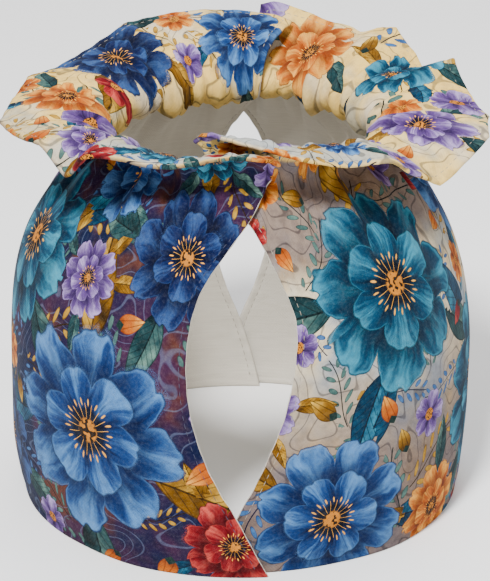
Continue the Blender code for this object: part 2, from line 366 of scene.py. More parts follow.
def panel_places(panel, across_mm, up):
    """The azimuth and the share along of places given in millimetres on the flat panel."""
    along = np.where(up <= BODY_LENGTH, up / BODY_LENGTH, 1 + (up - BODY_LENGTH) / COLLAR_LENGTH)
    front = edge_azimuth(FRONT_EDGES, panel.side, panel.rim[0].azimuth_deg, along, 0)
    back = edge_azimuth(BACK_EDGES, panel.side, panel.rim[-1].azimuth_deg, along, panel.behind)
    return front + (back - front) * across_mm / PANEL_WIDTH_MM, along


def panel_points(panel, across_mm, up, lift_mm=0.0):
    """Points of the cloth's middle, in metres, lifted along its normal by lift_mm."""
    azimuth, along = panel_places(panel, across_mm, up)
    edge_mm = np.minimum(across_mm, PANEL_WIDTH_MM - across_mm)
    radius, height = section(panel.rim, azimuth, along)
    step = 0.002
    before = section(panel.rim, azimuth, np.maximum(along - step, 0))
    after = section(panel.rim, azimuth, np.minimum(along + step, 2))
    run, rise = after[0] - before[0], after[1] - before[1]
    size = np.hypot(run, rise)
    run, rise = run / size, rise / size
    upright = along <= HEM_FOLD
    run, rise = np.where(upright, 0, run), np.where(upright, 1, rise)
    push = gather_push(azimuth, along) + fine_pleats(azimuth, up) + swell(azimuth, up)
    push += creases(azimuth, up) + puckers(up, edge_mm) + lift_mm
    push = push * MM + layer_offset(azimuth, panel.front_side)
    radius, height = radius * MM + push * rise, height * MM - push * run
    turn = np.radians(azimuth)
    return np.stack((AXIS_X + radius * np.sin(turn), AXIS_Y - radius * np.cos(turn), height), -1)


# %% Objects and attributes
def add_object(name, data):
    thing = bpy.data.objects.new(name, data)
    bpy.context.scene.collection.objects.link(thing)
    return thing


def finish_as(name, guide):
    """Replace an object by one of another name that has its modifiers applied."""
    bpy.context.view_layer.update()
    shown = guide.evaluated_get(bpy.context.evaluated_depsgraph_get())
    mesh = bpy.data.meshes.new_from_object(shown)
    mesh.name = name
    bpy.data.objects.remove(guide)
    return add_object(name, mesh)


def write_vectors(mesh, name, domain, values):
    attribute = mesh.attributes.new(name, "FLOAT_VECTOR", domain)
    attribute.data.foreach_set("vector", values.astype(np.float32).ravel())


def read_numbers(data, name, kind=np.int32, width=1):
    """Width numbers from each item of a mesh's data."""
    values = np.empty(len(data) * width, dtype=kind)
    data.foreach_get(name, values)
    return values


# %% Make both panels
def make_cloth(panel, materials):
    columns, rows = crowded_steps(PANEL_WIDTH_MM), crowded_steps(RIM_UP)
    across_mm, up = np.meshgrid(columns, rows)
    azimuth, _ = panel_places(panel, across_mm, up)
    points = panel_points(panel, across_mm, up).reshape(-1, 3)
    side_mm = np.minimum(across_mm, PANEL_WIDTH_MM - across_mm)
    end_mm = np.minimum(up, RIM_UP - up)
    edge_mm = np.minimum(side_mm, end_mm).ravel()

    sheet = bmesh.new()
    bmesh.ops.create_grid(
        sheet, x_segments=len(columns) - 1, y_segments=len(rows) - 1, size=0.5
    )
    spots = np.array([vertex.co.xy for vertex in sheet.verts]) + 0.5
    order = np.rint(spots * (len(columns) - 1, len(rows) - 1)).astype(int) @ (1, len(columns))
    for vertex, index in zip(sheet.verts, order):
        vertex.co = points[index]
    if panel.behind < 0:
        bmesh.ops.reverse_faces(sheet, faces=sheet.faces)
    mesh = bpy.data.meshes.new(panel.name + "_sheet")
    sheet.to_mesh(mesh)
    sheet.free()
    for material in materials:
        mesh.materials.append(material)

    around = np.radians(azimuth).ravel()[order] * NOMINAL_RADIUS
    flat = np.stack((around, up.ravel()[order], edge_mm[order]), -1)
    write_vectors(mesh, "cloth_mm", "POINT", flat)

    cloth = add_object(panel.name + "_sheet", mesh)
    thin = cloth.vertex_groups.new(name="thickness")
    for index, share in enumerate(thickness_share(edge_mm)[order]):
        thin.add([index], float(share), "REPLACE")
    padding = cloth.modifiers.new("padding", "SOLIDIFY")
    padding.thickness = CLOTH_THICKNESS
    padding.offset = 0.0
    padding.vertex_group = thin.name
    padding.use_quality_normals = True
    padding.material_offset = 1
    padding.material_offset_rim = 1
    piece = finish_as(panel.name + "_cloth", cloth)
    piece.data.shade_smooth()
    return piece

# %% [markdown]
# ## Where each printed motif goes
# A printed cloth has its pattern laid out flat, before it is cut and gathered. So each motif is a
# row in a table: its place on the flat cloth, its size, its turn and its colours. The big blooms
# are listed one by one, and a seeded scatter fills in round them.
# Each face of the mesh then looks up the nearest motif of each layer, and its corners
# keep their place within that motif. The shader draws one flower, at any size, wherever
# such a place is near zero. This costs far less than a tree with a branch per flower.

# %% The big blooms
TEAL, BLUE, NAVY, AMBER, LILAC, CRIMSON, SAGE, MUSTARD = range(8)

# The last rows of each panel, from 200 mm up, lie on the facing inside the collar
Motif = namedtuple("Motif", "around_mm up_mm radius_mm turn_deg colours")
BLOOMS = {
    "panel_left": rows_of(
        Motif, (-58.0, 50.0, 43.0, 10.0, BLUE), (-22.0, 118.0, 28.0, 40.0, NAVY),
        (-114.0, 106.0, 38.0, 75.0, TEAL), (-2.0, 14.0, 21.0, 20.0, CRIMSON),
        (-124.0, 24.0, 29.0, 55.0, NAVY), (-180.0, 66.0, 40.0, 0.0, BLUE),
        (-244.0, 112.0, 34.0, 30.0, TEAL), (-246.0, 30.0, 31.0, 65.0, NAVY),
        (-182.0, 140.0, 25.0, 15.0, CRIMSON), (-66.0, 146.0, 23.0, 35.0, BLUE),
        (-66.0, 104.0, 16.0, 20.0, LILAC), (-14.0, 166.0, 20.0, 60.0, TEAL),
        (-36.0, 204.0, 17.0, 30.0, TEAL), (-84.0, 205.0, 16.0, 0.0, LILAC),
        (-148.0, 207.0, 19.0, 15.0, AMBER), (-204.0, 202.0, 27.0, 50.0, NAVY),
        (-268.0, 205.0, 24.0, 20.0, BLUE),
    ),
    "panel_right": rows_of(
        Motif, (66.0, 102.0, 41.0, 25.0, TEAL), (34.0, 20.0, 34.0, 60.0, BLUE),
        (128.0, 44.0, 38.0, 5.0, TEAL), (8.0, 66.0, 15.0, 45.0, LILAC),
        (84.0, 10.0, 19.0, 15.0, AMBER), (144.0, 126.0, 31.0, 70.0, BLUE),
        (200.0, 56.0, 38.0, 35.0, NAVY), (214.0, 134.0, 28.0, 50.0, TEAL),
        (252.0, 92.0, 24.0, 80.0, CRIMSON), (250.0, 22.0, 28.0, 10.0, BLUE),
        (50.0, 205.0, 15.0, 15.0, BLUE), (112.0, 206.0, 20.0, 60.0, LILAC),
        (176.0, 203.0, 20.0, 35.0, TEAL), (232.0, 205.0, 23.0, 10.0, AMBER),
    ),
}
for name, rows in BLOOMS.items():
    print(name, "has", len(rows), "big blooms")


# %% Scatter the leaves and the small motifs
FACING_UP = 2 * RIM_UP - BODY_LENGTH
CLOTH_AROUND = {"panel_left": (-294.0, 24.0), "panel_right": (-32.0, 268.0)}
LEAVES_EACH = 4
LEAF_SWAY_DEG = 24.0
LEAF_LENGTHS = (0.46, 0.62)
TRIES_EACH = 30

# How many motifs to scatter, their smallest and largest radius, and how far apart they
# keep, as a share of both radii. A colour that is named twice comes up twice as often.
Filling = namedtuple("Filling", "count sizes_mm colours spread")
POSIES = Filling(50, (8.0, 14.0), (AMBER, LILAC, CRIMSON, AMBER, LILAC), 0.94)
BUDS = Filling(70, (6.5, 10.5), (AMBER, CRIMSON, MUSTARD, AMBER), 0.90)
SPRIGS = Filling(110, (12.0, 19.0), (SAGE, MUSTARD, BLUE), 0.42)


def leaves_round(blooms, draw):
    """Four leaves reach out from under each bloom, in lengths that follow its radius."""
    leaves = []
    for bloom in blooms:
        first = draw.uniform(0, 360)
        for i in range(LEAVES_EACH):
            turn = first + 360 / LEAVES_EACH * i + draw.uniform(-LEAF_SWAY_DEG, LEAF_SWAY_DEG)
            length = bloom.radius_mm * draw.uniform(*LEAF_LENGTHS)
            out = bloom.radius_mm * 0.86 + length * 0.72
            leaves.append(Motif(
                bloom.around_mm + out * math.cos(math.radians(turn)),
                bloom.up_mm + out * math.sin(math.radians(turn)),
                length, turn, draw.choice((SAGE, MUSTARD, SAGE, TEAL)),
            ))
    return leaves


def scatter(panel_name, filling, keep_off, draw):
    """Random places that keep clear of every motif in keep_off and of one another."""
    placed = []
    for _ in range(filling.count * TRIES_EACH):
        if len(placed) == filling.count:
            break
        size = draw.uniform(*filling.sizes_mm)
        spot = Motif(
            draw.uniform(*CLOTH_AROUND[panel_name]), draw.uniform(0, FACING_UP), size,
            draw.uniform(0, 360), draw.choice(filling.colours),
        )
        clear = all(
            math.hypot(spot.around_mm - other.around_mm, spot.up_mm - other.up_mm)
            > filling.spread * (other.radius_mm + size)
            for other in (*keep_off, *placed)
        )
        if clear:
            placed.append(spot)
    return placed


def lay_out(panel_name):
    draw = random.Random("cosy " + panel_name)
    blooms = BLOOMS[panel_name]
    leaves = leaves_round(blooms, draw)
    posies = scatter(panel_name, POSIES, blooms, draw)
    buds = scatter(panel_name, BUDS, [*blooms, *posies], draw)
    sprigs = scatter(panel_name, SPRIGS, [], draw)
    return {"bloom": blooms, "leaf": leaves, "posy": posies, "bud": buds, "sprig": sprigs}


LAYOUT = {panel.name: lay_out(panel.name) for panel in PANELS}
for name, layers in LAYOUT.items():
    print(name, {layer: len(rows) for layer, rows in layers.items()})


# %% Write the places on the mesh
FACING_DOWN_MM = 9.5
NARROW = {"bloom": 1.0, "posy": 1.0, "leaf": 0.5, "bud": 0.62, "sprig": 0.42}
OUTSIDE = (0.0, 9.0, 0.5)
MOTIF_REACH = 1.12


def turned_by(turn, offset):
    """An offset as seen from a motif's own axes."""
    cosine, sine = np.cos(turn), np.sin(turn)
    x, y = offset[:, 0], offset[:, 1]
    return x * cosine + y * sine, y * cosine - x * sine


def write_places(mesh, layer, rows, flat, face_of_corner, centres, draw):
    """For each corner: its place within the face's nearest motif, and the motif's colours."""
    table = np.array([
        (row.around_mm, row.up_mm, row.radius_mm, math.radians(row.turn_deg),
         row.colours + draw.uniform(0.05, 0.95)) for row in rows
    ])
    best = np.full(len(centres), MOTIF_REACH)
    chosen = np.full(len(centres), -1)
    for i, (around, up, radius, turn, _) in enumerate(table):
        x, y = turned_by(turn, (centres - (around, up)) / radius)
        reach = np.hypot(x, y / NARROW[layer])
        nearer = reach < best
        best[nearer], chosen[nearer] = reach[nearer], i
    motif = chosen[face_of_corner]
    row = table[motif]
    x, y = turned_by(row[:, 3], (flat - row[:, :2]) / row[:, 2:3])
    places = np.stack((x, y, row[:, 4]), -1)
    places[motif < 0] = OUTSIDE
    write_vectors(mesh, layer, "CORNER", places)


def lay_print(piece, panel):
    """Turn the print over the rim onto the facing, then place every layer of motifs."""
    mesh = piece.data
    faces = len(mesh.polygons)
    flat = read_numbers(mesh.attributes["cloth_mm"].data, "vector", np.float32, 3)
    sides = read_numbers(mesh.polygons, "loop_total")
    material = read_numbers(mesh.polygons, "material_index")
    face_of_corner = np.repeat(np.arange(faces), sides)
    corner_flat = flat.reshape(-1, 3).astype(float)[read_numbers(mesh.loops, "vertex_index")]
    middle = np.zeros((faces, 3))
    np.add.at(middle, face_of_corner, corner_flat)
    middle /= sides[:, None]
    corner_flat, edge_mm, middle = corner_flat[:, :2], middle[:, 2], middle[:, :2]
    material[(edge_mm < BARE_EDGE_MM) & (middle[:, 1] < BODY_LENGTH)] = 1
    facing = (material == 1) & (middle[:, 1] > BODY_LENGTH - FACING_DOWN_MM)
    facing &= (edge_mm > BARE_EDGE_MM) | (middle[:, 1] > BODY_LENGTH)
    material[facing] = 0
    mesh.polygons.foreach_set("material_index", material)
    turned = facing[face_of_corner]
    corner_flat[turned, 1] = 2 * RIM_UP - corner_flat[turned, 1]
    middle[facing, 1] = 2 * RIM_UP - middle[facing, 1]

    mesh.attributes.remove(mesh.attributes["cloth_mm"])
    dark = np.full(len(corner_flat), 1.0 if panel.side == "left" else 0.0)
    write_vectors(mesh, "cloth_mm", "CORNER", np.stack((*corner_flat.T, dark), -1))
    draw = random.Random("print " + panel.name)
    for layer, rows in LAYOUT[panel.name].items():
        write_places(mesh, layer, rows, corner_flat, face_of_corner, middle, draw)
    print(piece.name, "faces:", faces, "of them facing:", int(facing.sum()))

# %% [markdown]
# ## Formulas as shader nodes
# A pattern in a shader is arithmetic on the place being shaded. A tree of Math nodes is
# hard to read, so a small class lets a formula be written as on paper: adding two
# fields adds a Math node and gives its output back as a field.

# %% A socket that can be reckoned with
def put(socket, value):
    """Link a field to a socket, or set the socket to a plain number or colour."""
    if isinstance(value, Field):
        socket.id_data.links.new(value.socket, socket)
    else:
        socket.default_value = value


class Field:
    def __init__(self, socket):
        self.socket = socket
        self.tree = socket.id_data

    def node(self, kind, inputs, output=0, **settings):
        """Add a node to this field's tree, with inputs by number or name, for one output."""
        node = self.tree.nodes.new(kind)
        for name, value in settings.items():
            setattr(node, name, value)
        for key, value in inputs.items():
            put(node.inputs[key], value)
        return Field(node.outputs[output])

    def maths(self, operation, *others):
        return self.node("ShaderNodeMath", dict(enumerate((self, *others))), operation=operation)

    def capped(self, top=1.0):
        return self.maths("MINIMUM", top)

    def __add__(self, other):
        return self.maths("ADD", other)

    def __mul__(self, other):
        return self.maths("MULTIPLY", other)

    def __sub__(self, other):
        return self.maths("SUBTRACT", other)

    def __rsub__(self, other):
        return self * -1.0 + other

    def __truediv__(self, other):
        return self.maths("DIVIDE", other)

    def __pow__(self, other):
        return self.maths("POWER", other)

    def __abs__(self):
        return self.maths("ABSOLUTE")

    __radd__ = __add__
    __rmul__ = __mul__


def step(value, start, end):
    """0 where the value is before start, 1 past end, smooth between. They may fall."""
    if start > end:
        return step(value * -1.0, -start, -end)
    inputs = {0: value, 1: start, 2: end, 3: 0.0, 4: 1.0}
    return value.node("ShaderNodeMapRange", inputs, interpolation_type="SMOOTHSTEP")


def mix(share, first, second, blend="MIX"):
    inputs = {0: share, 6: first, 7: second}
    return share.node("ShaderNodeMix", inputs, output=2, data_type="RGBA", blend_type=blend)


def vector(x, y, z):
    return x.node("ShaderNodeCombineXYZ", {0: x, 1: y, 2: z})


def noise(place, scale, detail=2.0, rough=0.5):
    inputs = {"Vector": place, "Scale": scale, "Detail": detail, "Roughness": rough}
    return place.node("ShaderNodeTexNoise", inputs)


def pick(value):
    """A random number from 0 to 1 that stays the same over each whole value."""
    return value.node("ShaderNodeTexWhiteNoise", {"W": value}, noise_dimensions="1D")


def dot(x, y, radius, soft):
    """1 within a round spot about zero."""
    return step((x * x + y * y) ** 0.5, radius + soft, radius - soft)


def ramp(share, colours):
    """As many hard steps from 0 to 1 as there are linear colours."""
    band = share.node("ShaderNodeValToRGB", {0: share})
    scale = band.socket.node.color_ramp
    scale.interpolation = "CONSTANT"
    for i, colour in enumerate(colours):
        place = i / len(colours)
        element = scale.elements[i] if i < len(scale.elements) else scale.elements.new(place)
        element.position, element.color = place, (*colour, 1.0)
    return band


def read_attribute(tree, name):
    """The three numbers of a corner attribute, as three fields."""
    node = tree.nodes.new("ShaderNodeAttribute")
    node.attribute_name = name
    parts = tree.nodes.new("ShaderNodeSeparateXYZ")
    tree.links.new(node.outputs["Vector"], parts.inputs[0])
    return [Field(output) for output in parts.outputs]


# %% [markdown]
# ## Paints
# Each colour family has a deep, a middle and a pale tone, as a brush gives from a full
# load to clean water. A motif carries its family's number, and three ramps with hard
# steps look up its three tones. The numbers are linear light, not screen values.

# %% The colour families
TONES = {
    TEAL: ((0.002, 0.018, 0.040), (0.012, 0.095, 0.165), (0.105, 0.370, 0.470)),
    BLUE: ((0.007, 0.016, 0.065), (0.022, 0.085, 0.230), (0.170, 0.330, 0.540)),
    NAVY: ((0.006, 0.009, 0.034), (0.015, 0.034, 0.120), (0.085, 0.165, 0.330)),
    AMBER: ((0.190, 0.040, 0.006), (0.500, 0.170, 0.022), (0.780, 0.460, 0.130)),
    LILAC: ((0.045, 0.018, 0.095), (0.190, 0.115, 0.300), (0.480, 0.390, 0.600)),
    CRIMSON: ((0.055, 0.002, 0.008), (0.270, 0.010, 0.028), (0.600, 0.150, 0.120)),
    SAGE: ((0.005, 0.022, 0.027), (0.035, 0.100, 0.110), (0.230, 0.350, 0.300)),
    MUSTARD: ((0.055, 0.028, 0.002), (0.290, 0.160, 0.015), (0.680, 0.480, 0.120)),
}
INK = (0.010, 0.012, 0.030, 1.0)
PAPER = (0.780, 0.740, 0.640, 1.0)
POLLEN = (0.850, 0.500, 0.120, 1.0)
AMBER_HEART = (0.620, 0.300, 0.050, 1.0)
BROWN_HEART = (0.050, 0.030, 0.020, 1.0)
SEPAL = (0.020, 0.060, 0.055, 1.0)


def family_of(colours):
    """A motif's own seed from 0 to 1, and the deep, middle and pale tone of its family."""
    number = colours.maths("FLOOR")
    place = (number + 0.5) / len(TONES)
    return colours - number, [ramp(place, tones) for tones in zip(*TONES.values())]


def wash(share, deep, middle, pale):
    """From deep at 0 through middle to pale at 1."""
    return mix(step(share, 0.45, 1.0), mix(step(share, 0.0, 0.5), deep, middle), pale)


print("colour families:", len(TONES))

# %% [markdown]
# ## The motifs
# Each motif is a signed distance from its outline, which gives a crisp edge, an ink
# line along it and a pale rim inside it. Petals come from the angle round the middle:
# its whole part numbers the petal, and the rest says how far it is from the petal's
# middle. Noise bends the outline and streaks the wash, so no two look stamped.

# %% A flower
# Inside a motif every length is a share of its radius
OUTLINE_SOFT = 0.014
BLOOM_PETALS, INNER_PETALS, POSY_PETALS = 8, 6, 5
BLOOM_HEART, POSY_HEART = 0.105, 0.24
BEADS = 17
BEAD_RING = 0.245


def petals(angle, radius, streaks, count, length, notch, family, seed):
    """One ring of petals: its colour, and the distance inside its outline."""
    deep, middle, pale = family
    turn = angle * (count / (2 * math.pi)) + seed
    number = turn.maths("FLOOR")
    aside = abs(turn - number - 0.5) * 2.0
    shade = pick(number + seed * 91.0)
    tip = (1.0 - 0.30 * aside ** 2.8) * (0.90 + 0.10 * shade) * length
    tip = tip - (notch * length) * step(aside, 0.22, 0.0)
    inside = tip - radius
    run = radius / tip
    light = step(aside, 0.75, 0.0) * 0.34
    colour = wash(run * 0.52 + 1.05 * streaks + light - 0.58 + 0.24 * shade, deep, middle, pale)
    fold = step(aside, 0.62, 1.0) * step(run, 1.0, 0.55)
    vein = step(aside, 0.07, 0.0) * step(run, 0.85, 0.45)
    colour = mix((fold * 0.75 + vein * 0.45).capped(), colour, deep)
    colour = mix(step(inside, 0.075 * length, 0.03 * length) * 0.60, colour, pale)
    return mix(step(inside, 0.034, 0.012) * 0.80, colour, deep), inside


def flower(x, y, colours, big):
    seed, family = family_of(colours)
    drift = vector(x, y, seed * 40.0)
    angle = y.maths("ARCTAN2", x) + (noise(drift, 2.4) - 0.5) * 0.50
    radius = (x * x + y * y) ** 0.5 * (1.0 + 0.14 * (noise(drift, 4.0) - 0.5))
    streaks = noise(vector(angle * 9.0, radius * 2.2, seed * 17.0), 1.0, 3.0, 0.6)
    count = BLOOM_PETALS if big else POSY_PETALS
    outer, inside = petals(angle, radius, streaks, count, 0.97, 0.05, family, seed)
    if big:
        outer = mix(step(radius, 0.80, 0.50) * 0.55, outer, family[0])
        inner, within = petals(
            angle + 0.4, radius, streaks, INNER_PETALS, 0.60, 0.03, family, seed * 0.5
        )
        outer = mix(step(within, 0.0, OUTLINE_SOFT), outer, inner)
        beads = abs((angle * (BEADS / (2 * math.pi))).maths("FRACT") - 0.5) / 3.0
        ring = dot(beads, radius - BEAD_RING, 0.032, 0.010)
        threads = step(abs(beads - 0.165), 0.014, 0.004)
        threads = threads * step(radius, BEAD_RING, BEAD_RING - 0.020)
        outer = mix(step(radius, 0.235, 0.16) * 0.85, outer, INK)
        outer = mix((ring + threads).capped(), outer, POLLEN)
    heart = BLOOM_HEART if big else POSY_HEART
    spots = step(noise(drift, 26.0, 0.0), 0.50, 0.62)
    centre = mix(spots, AMBER_HEART, BROWN_HEART)
    colour = mix(step(radius, heart + 0.015, heart - 0.015), outer, centre)
    return colour, step(inside, 0.0, OUTLINE_SOFT)


def bloom(x, y, colours):
    return flower(x, y, colours, True)


def posy(x, y, colours):
    return flower(x, y, colours, False)


# %% A leaf, a bud and a sprig
def leaf(x, y, colours):
    seed, (deep, middle, pale) = family_of(colours)
    y = y + (1.0 - x * x) * (seed - 0.5) * 0.22
    inside = (1.0 - x * x) * 0.34 * (1.0 - 0.30 * x) - abs(y)
    blot = noise(vector(x, y, seed * 33.0), 2.6, 3.0)
    upper = step(y, -0.01, 0.01)
    colour = wash(blot * 1.1 - 0.15 + upper * 0.28 + x * 0.12, deep, middle, pale)
    veins = abs(((x - abs(y) * 1.3) * 5.0).maths("FRACT") - 0.5)
    veins = step(veins, 0.11, 0.05) * step(inside, 0.0, 0.05)
    rib = step(abs(y), 0.022, 0.010)
    colour = mix((veins * 0.5 + rib * 0.8).capped(), colour, deep)
    colour = mix(step(inside, 0.045, 0.015) * 0.75, colour, deep)
    return colour, step(inside, 0.0, OUTLINE_SOFT)


def bud(x, y, colours):
    """A closed bud: a tear-shaped cup of three petals on two dark sepals."""
    seed, (deep, middle, pale) = family_of(colours)
    body = 0.50 * (1.0 - (x - 0.12).maths("MULTIPLY", x - 0.12) / 0.72)
    inside = body * (1.0 - 0.35 * x) - abs(y)
    lobes = step(abs(abs(y) - 0.16 * (1.0 - x * 0.6)), 0.035, 0.012)
    blot = noise(vector(x, y, seed * 21.0), 3.4, 2.0)
    colour = wash(x * 0.55 + 0.25 + blot * 0.4, deep, middle, pale)
    colour = mix((lobes * 0.6 + step(inside, 0.07, 0.03) * 0.6).capped(), colour, deep)
    cup = step(x + abs(y) * 0.9, -0.22, -0.27)
    return mix(cup, colour, SEPAL), step(inside, 0.0, 0.03)


def sprig(x, y, colours):
    """A fine stem with paired leaves that shrink towards its tip."""
    seed, (deep, middle, pale) = family_of(colours)
    y = y + 0.12 * (x * 2.4 + seed * 6.0).maths("SINE")
    stem = step(abs(y), 0.020, 0.008) * step(abs(x), 0.95, 0.90)
    run = x * 3.2
    place = run - run.maths("FLOOR") - 0.36
    size = 1.15 - 0.35 * abs(x)
    out = abs(y) / size - 0.17
    along = place / 3.2 * 0.72 + out * 0.70 - 0.03
    across = out * 0.72 - place / 3.2 * 0.70
    blade = 1.0 - ((along / 0.165) ** 2.0 + (across / 0.062) ** 2.0) ** 0.5
    blade_cover = step(blade, 0.0, 0.12) * step(abs(x), 0.90, 0.86)
    colour = mix(noise(vector(x, y, seed * 9.0), 5.0), middle, pale)
    colour = mix((stem + step(blade, 0.30, 0.12) * 0.6).capped(), colour, deep)
    return colour, (stem + blade_cover).capped()

# %% [markdown]
# ## The printed cotton
# The print is built up as a printer would: a clouded ground first, then stems, leaves, buds and
# flowers over it. The left panel has a dark ground and the right one a light one, which also
# carries painted shade under the collar. The facing inside the collar is a warm cream. A plain
# weave of crossing threads goes into the bump, with a soft unevenness for the wadding under it.
# Roughness and sheen are the same all over, so they are set on the shader's own sockets.

# %% The grounds
INDIGO = (0.012, 0.026, 0.090, 1.0)
PLUM = (0.100, 0.040, 0.095, 1.0)
RUST = (0.190, 0.080, 0.045, 1.0)
CREAM = (0.690, 0.610, 0.470, 1.0)
MIST = (0.400, 0.450, 0.490, 1.0)
STRAW = (0.640, 0.460, 0.200, 1.0)
DUSK = (0.215, 0.160, 0.155, 1.0)
BUTTER = (0.800, 0.610, 0.250, 1.0)
SLATE = (0.200, 0.240, 0.330, 1.0)
STONE = (0.460, 0.420, 0.350, 1.0)
CHALK = (0.600, 0.560, 0.480, 1.0)
CLOUD_MM, PATCH_MM = 46.0, 30.0

# Between these places on the flat cloth the light ground darkens towards the hem, and towards the
# collar as painted shade under it, and the facing turns misty towards the front. On the light
# panel the warm ground starts that far below the rim.
DUSK_LOW_MM = (122.0, 60.0)
COLLAR_SHADE_MM = (112.0, 128.0)
MISTY_FRONT_MM = (100.0, 50.0)
LIGHT_COLLAR_MM = 30.0


def blotches(around, up, size_mm, level, detail=3.0, rough=0.6):
    """Noise on the flat cloth, in blotches of about that size. Each level has its own."""
    return noise(vector(around / size_mm, up / size_mm, level), 1.0, detail, rough)


def ground(around, up, dark):
    """Dark below the rim on the left panel, light on the right one, and warm in the collar."""
    spot = vector(around / CLOUD_MM, up / CLOUD_MM, dark * 5.0)
    cloud = noise(spot, 1.3, 3.0, 0.55)
    patch = blotches(around, up, PATCH_MM, dark + 8.0)
    night = mix(step(cloud, 0.38, 0.62), INDIGO, PLUM)
    night = mix(step(patch, 0.52, 0.66) * 0.8, night, RUST)
    day = mix(step(cloud, 0.42, 0.60), CREAM, MIST)
    day = mix(step(patch, 0.50, 0.66) * 0.6, day, STRAW)
    # The light ground darkens towards the hem, and from the shoulder up to the neck as painted
    # shade under the collar
    low = step(up + patch * 60.0, *DUSK_LOW_MM) * 0.85
    high = step(up + patch * 14.0, *COLLAR_SHADE_MM) * 0.75
    day = mix((low + high).capped(0.9), day, DUSK)
    warm = mix(step(cloud, 0.36, 0.56), CREAM, BUTTER)
    warm = mix(step(patch, 0.54, 0.68) * 0.6, warm, MIST)
    front = step(abs(around), *MISTY_FRONT_MM) * step(up, RIM_UP, RIM_UP + 3.0)
    warm = mix(front * 0.75, warm, MIST)
    colour = mix(dark, day, night)
    turned = up + (1.0 - dark) * LIGHT_COLLAR_MM
    colour = mix(step(turned, RIM_UP - 1.5, RIM_UP + 1.5), colour, warm)
    rings = abs((noise(spot, 1.9, 1.0, 0.4) * 11.0).maths("FRACT") - 0.5)
    pen = step(rings, 0.09, 0.03) * (0.42 + 0.05 * dark)
    line = mix(dark * step(up, RIM_UP, RIM_UP - 1.0), INK, SLATE)
    return mix(pen, colour, line)


# %% The whole print
INK_DEPTH = 1.5
POOL = (0.400, 0.400, 0.460, 1.0)
POOL_MM, WORN_MM = 5.0, 9.0
LAYERS = (("sprig", sprig), ("leaf", leaf), ("bud", bud), ("posy", posy), ("bloom", bloom))


def print_colour(around, up, dark):
    colour = ground(around, up, dark)
    for layer, draw in LAYERS:
        paint, cover = draw(*read_attribute(around.tree, layer))
        colour = mix(cover, colour, paint)
    grain = noise(vector(around, up, dark), 0.8, 4.0, 0.75)
    pool = blotches(around, up, POOL_MM, dark + 6.0, 4.0, 0.65)
    colour = mix(step(pool, 0.40, 0.68) * 0.30, colour, POOL, "MULTIPLY")
    worn = blotches(around, up, WORN_MM, dark + 3.0)
    colour = mix(step(grain, 0.42, 0.70) * 0.055, colour, PAPER)
    colour = mix(step(worn, 0.45, 0.80) * 0.03, colour, PAPER)
    return colour.node("ShaderNodeGamma", {0: colour, 1: INK_DEPTH})


# %% Weave and shader
THREAD_PITCH_MM = 0.62
WEAVE_DEPTH = 0.035 * MM
WADDING_MM = 7.0
WADDING_DEPTH = 0.45 * MM
COTTON_ROUGHNESS = 0.90


def cloth_bump(around, up):
    """Threads over and under each other, on wadding that isn't quite even."""
    warp = (around * (math.pi / THREAD_PITCH_MM)).maths("SINE")
    weft = (up * (math.pi / THREAD_PITCH_MM)).maths("SINE")
    soft = blotches(around, up, WADDING_MM, 0.0, 3.0, 0.55)
    normal = None
    for height, depth in ((soft, WADDING_DEPTH), (warp * weft, WEAVE_DEPTH)):
        inputs = {"Height": height, "Distance": depth, "Strength": 1.0}
        if normal:
            inputs["Normal"] = normal
        normal = around.node("ShaderNodeBump", inputs)
    return normal


def add_material(name, roughness):
    """A new material, and its Principled shader."""
    material = bpy.data.materials.new(name)
    material.use_nodes = True
    shader = material.node_tree.nodes["Principled BSDF"]
    shader.inputs["Roughness"].default_value = roughness
    return material, shader


def cloth_material(name, colour_of):
    material, shader = add_material(name, COTTON_ROUGHNESS)
    around, up, dark = read_attribute(material.node_tree, "cloth_mm")
    put(shader.inputs["Base Color"], colour_of(around, up, dark))
    put(shader.inputs["Normal"], cloth_bump(around, up))
    shader.inputs["Specular IOR Level"].default_value = 0.08
    shader.inputs["Sheen Weight"].default_value = 0.03
    shader.inputs["Sheen Roughness"].default_value = 0.45
    print(name, "has", len(material.node_tree.nodes), "nodes")
    return material


def lining_colour(around, up, dark):
    slub = noise(vector(around / 12.0, up * 1.4, dark), 1.0, 3.0)
    return mix(slub, STONE, CHALK)


printed_cotton = cloth_material("printed_cotton", print_colour)
lining_cotton = cloth_material("lining_cotton", lining_colour)

# %% Cut, print and declare both panels
for panel in PANELS:
    piece = make_cloth(panel, (printed_cotton, lining_cotton))
    lay_print(piece, panel)
    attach(piece, "root")
    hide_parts(panel.name)
    print(piece.name, "triangles:", 2 * len(piece.data.polygons))

# %% [markdown]
# ## Stitches
# A row of topstitching in the colour of the cloth holds each turned edge. Geometry
# Nodes suits this: a path is cut into equal steps, and one small thread lies along the
# path at each of them. The same tree sews every row, on a mesh that holds only the
# paths, once on the outer face and once on the inner one.

# %% The stitching tree
STITCH_PITCH = 2.9 * MM
STITCH_LENGTH = 2.2 * MM
STITCH_WIDTH = 0.32 * MM
STITCH_SIDES, STITCH_RINGS = 6, 4
LENGTHS_VARY = (0.88, 1.06)
LENGTHS_SEED = 7


